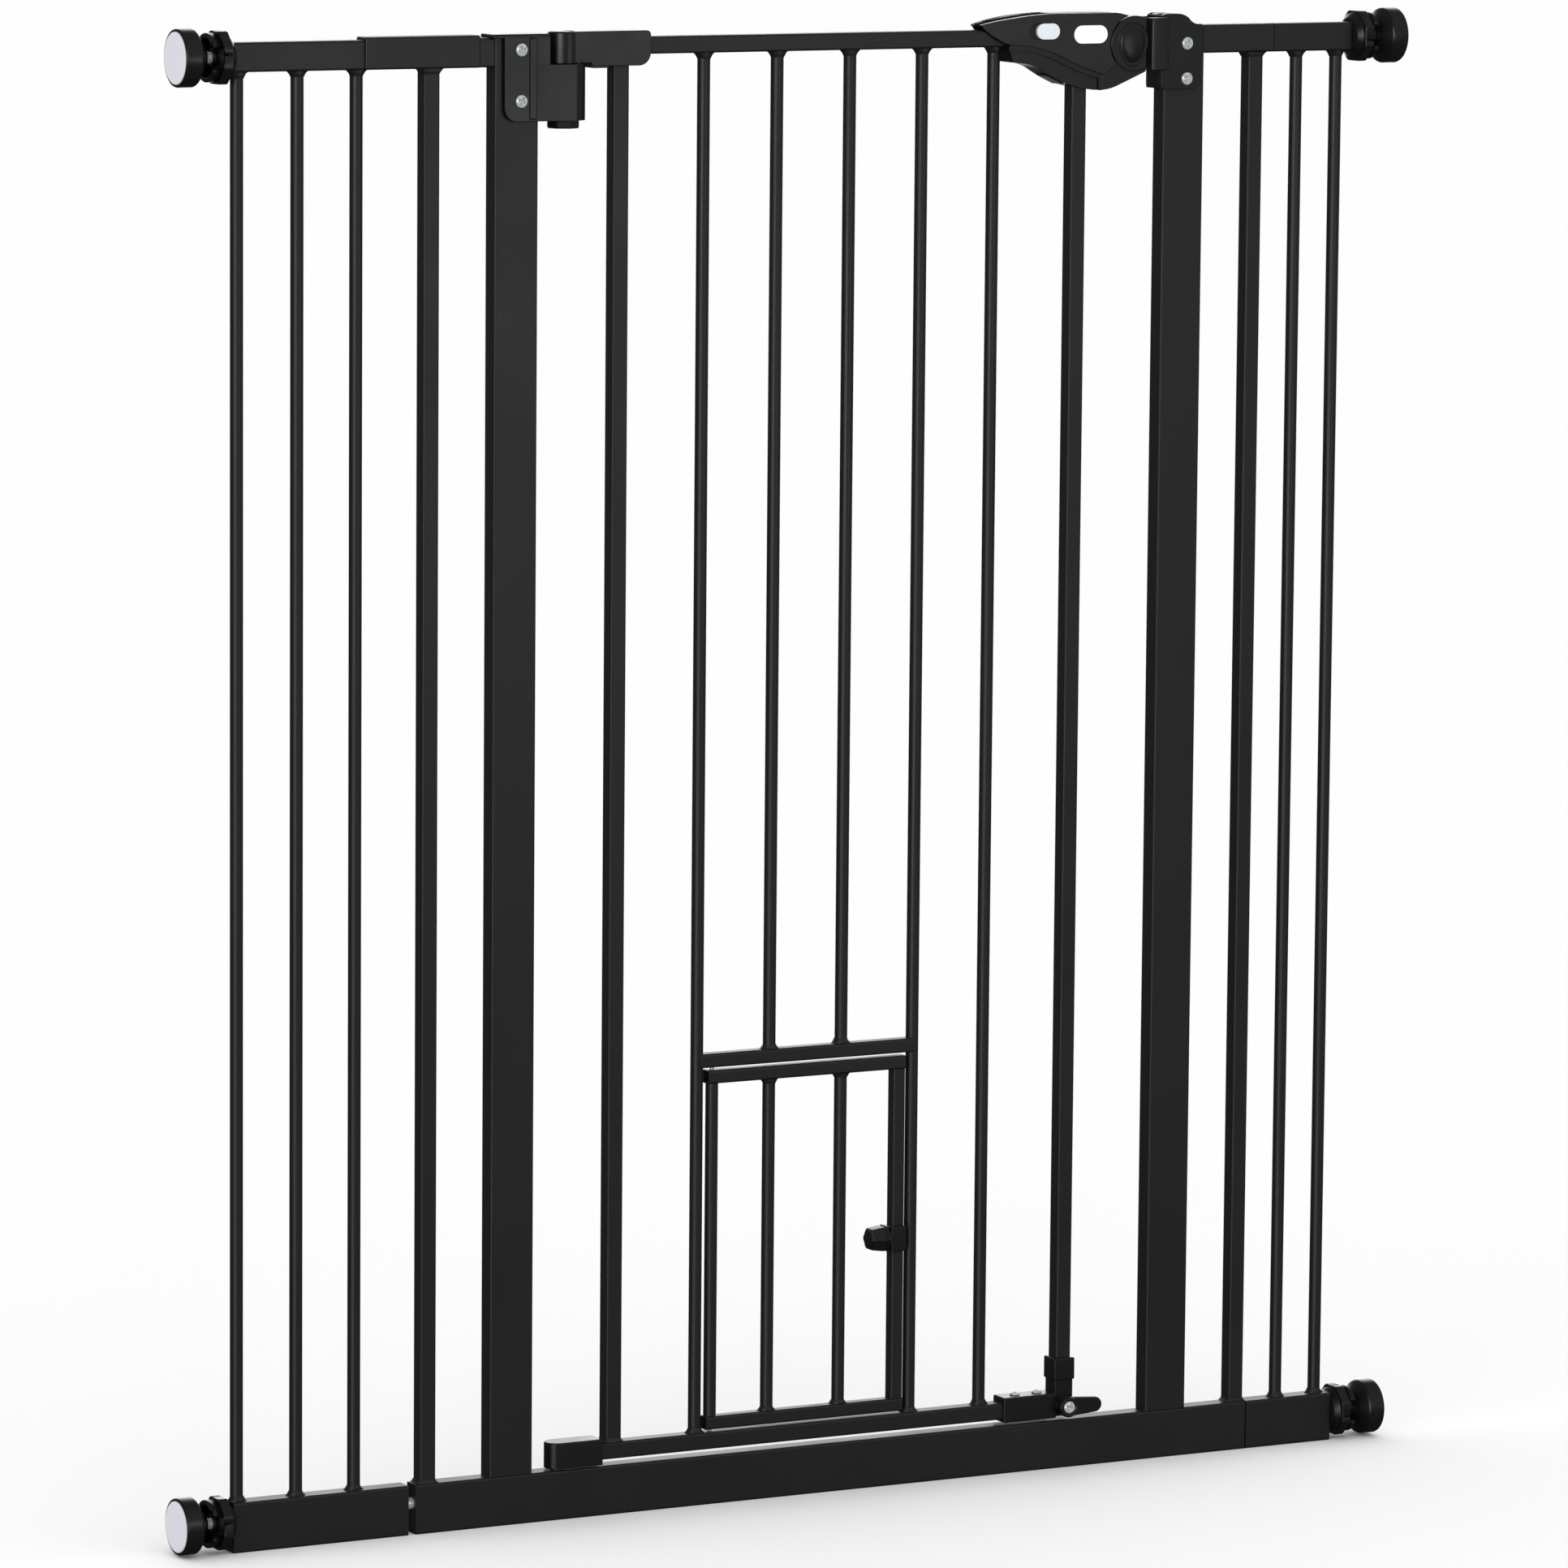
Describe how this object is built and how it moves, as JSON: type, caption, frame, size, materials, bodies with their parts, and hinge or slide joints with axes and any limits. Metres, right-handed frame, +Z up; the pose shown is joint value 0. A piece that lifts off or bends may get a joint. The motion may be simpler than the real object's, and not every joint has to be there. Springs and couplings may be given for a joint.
{
  "type": "pet gate",
  "caption": "Tall pressure-fit pet gate of black steel tube with side extensions, a hinged walk-through door with a lift latch, and a small cat door low in the door.",
  "frame": {"origin": "under the middle of the gate, at the height of the bottom rail's underside", "axes": "+X towards the latch side, -Y the front with the latch's slider and badge, +Z up"},
  "size_m": [0.9544, 0.0394, 1.04],
  "materials": {
    "black_powder_coat": "satin powder coat over steel tube",
    "black_plastic": "fine moulded texture",
    "white_plastic": "smooth moulded",
    "zinc_plated_steel": "bright zinc plating"
  },
  "bodies": {
    "frame": {"bottom_rail": "black_powder_coat", "hinge_post": "black_powder_coat", "latch_post": "black_powder_coat", "left_outer_post": "black_powder_coat", "right_outer_post": "black_powder_coat", "left_top_stub": "black_powder_coat", "right_top_stub": "black_powder_coat", "left_ext_top_rail": "black_powder_coat", "left_ext_bottom_rail": "black_powder_coat", "left_ext_bars": "black_powder_coat", "left_sleeve": "black_powder_coat", "right_ext_top_rail": "black_powder_coat", "right_ext_bottom_rail": "black_powder_coat", "right_ext_bars": "black_powder_coat", "wall_end_plugs": "black_plastic", "joint_plugs": "black_plastic", "joint_bolts": "zinc_plated_steel", "hinge_bracket": "black_plastic", "catch_bracket": "black_plastic", "bracket_screws": "zinc_plated_steel", "lower_hinge_pin": "zinc_plated_steel"},
    "door": {"door_top_rail": "black_powder_coat", "door_bottom_rail": "black_powder_coat", "door_hinge_stile": "black_powder_coat", "door_latch_stile": "black_powder_coat", "door_bars": "black_powder_coat", "door_cross_rail": "black_powder_coat", "hinge_cap": "black_plastic", "hinge_pin": "zinc_plated_steel", "hinge_nut": "black_plastic", "hinge_foot": "black_plastic", "corner_bracket": "black_plastic", "corner_screws": "zinc_plated_steel", "latch_housing": "black_plastic", "pivot_cap": "black_plastic", "cat_hinge_pins": "zinc_plated_steel"},
    "latch_lever": {"latch_lever": "black_plastic", "latch_badge": "white_plastic"},
    "lock_slider": {"lock_slider": "white_plastic"},
    "wing_lever": {"wing_lever": "black_plastic"},
    "cat_door": {"cat_top_rail": "black_powder_coat", "cat_bottom_rail": "black_powder_coat", "cat_bars": "black_powder_coat", "cat_stile": "black_powder_coat", "knob_housing": "black_plastic"},
    "plunger": {"plunger_knob": "black_plastic", "plunger_pin": "zinc_plated_steel"},
    "wheel_top_left": {"handwheel_top_left": "black_plastic"},
    "spindle_top_left": {"spindle_top_left": "zinc_plated_steel", "pad_top_left": "black_plastic"},
    "wheel_top_right": {"handwheel_top_right": "black_plastic"},
    "spindle_top_right": {"spindle_top_right": "zinc_plated_steel", "pad_top_right": "black_plastic"},
    "wheel_bottom_left": {"handwheel_bottom_left": "black_plastic"},
    "spindle_bottom_left": {"spindle_bottom_left": "zinc_plated_steel", "pad_bottom_left": "black_plastic"},
    "wheel_bottom_right": {"handwheel_bottom_right": "black_plastic"},
    "spindle_bottom_right": {"spindle_bottom_right": "zinc_plated_steel", "pad_bottom_right": "black_plastic"}
  },
  "joints": [
    {"name": "door_swing", "type": "hinge", "parent": "frame", "child": "door", "pos_m": [-0.188, 0, 0], "axis": [0, 0, 1], "range_deg": [-90, 90]},
    {"name": "latch_lift", "type": "hinge", "parent": "door", "child": "latch_lever", "pos_m": [0.255, 0, 1.018], "axis": [0, 1, 0], "range_deg": [0, 15]},
    {"name": "lock_slide", "type": "slide", "parent": "latch_lever", "child": "lock_slider", "axis": [-1, 0, 0], "range_m": [0, 0.005]},
    {"name": "wing_turn", "type": "hinge", "parent": "door", "child": "wing_lever", "pos_m": [0.214, 0, 0.0455], "axis": [0, -1, 0], "range_deg": [0, 90]},
    {"name": "cat_door_swing", "type": "hinge", "parent": "door", "child": "cat_door", "pos_m": [-0.068, 0, 0], "axis": [0, 0, 1], "range_deg": [-90, 90]},
    {"name": "plunger_pull", "type": "slide", "parent": "cat_door", "child": "plunger", "axis": [-1, 0, 0], "range_m": [0, 0.006], "stiffness_N_per_m": 200, "springref_m": -0.004},
    {"name": "wheel_turn_top_left", "type": "hinge", "parent": "frame", "child": "wheel_top_left", "pos_m": [-0.446, 0, 1.02], "axis": [-1, 0, 0], "range_deg": [0, 5760]},
    {"name": "spindle_slide_top_left", "type": "slide", "parent": "frame", "child": "spindle_top_left", "axis": [-1, 0, 0], "range_m": [0, 0.02]},
    {"name": "wheel_turn_top_right", "type": "hinge", "parent": "frame", "child": "wheel_top_right", "pos_m": [0.446, 0, 1.02], "axis": [1, 0, 0], "range_deg": [0, 5760]},
    {"name": "spindle_slide_top_right", "type": "slide", "parent": "frame", "child": "spindle_top_right", "axis": [1, 0, 0], "range_m": [0, 0.02]},
    {"name": "wheel_turn_bottom_left", "type": "hinge", "parent": "frame", "child": "wheel_bottom_left", "pos_m": [-0.446, 0, 0.021], "axis": [-1, 0, 0], "range_deg": [0, 5760]},
    {"name": "spindle_slide_bottom_left", "type": "slide", "parent": "frame", "child": "spindle_bottom_left", "axis": [-1, 0, 0], "range_m": [0, 0.02]},
    {"name": "wheel_turn_bottom_right", "type": "hinge", "parent": "frame", "child": "wheel_bottom_right", "pos_m": [0.446, 0, 0.021], "axis": [1, 0, 0], "range_deg": [0, 5760]},
    {"name": "spindle_slide_bottom_right", "type": "slide", "parent": "frame", "child": "spindle_bottom_right", "axis": [1, 0, 0], "range_m": [0, 0.02]}
  ],
  "couplings": [
    {"joint": "wheel_turn_top_left", "follows": "spindle_slide_top_left", "rad_per_m": 5026.5},
    {"joint": "wheel_turn_top_right", "follows": "spindle_slide_top_right", "rad_per_m": 5026.5},
    {"joint": "wheel_turn_bottom_left", "follows": "spindle_slide_bottom_left", "rad_per_m": 5026.5},
    {"joint": "wheel_turn_bottom_right", "follows": "spindle_slide_bottom_right", "rad_per_m": 5026.5}
  ]
}
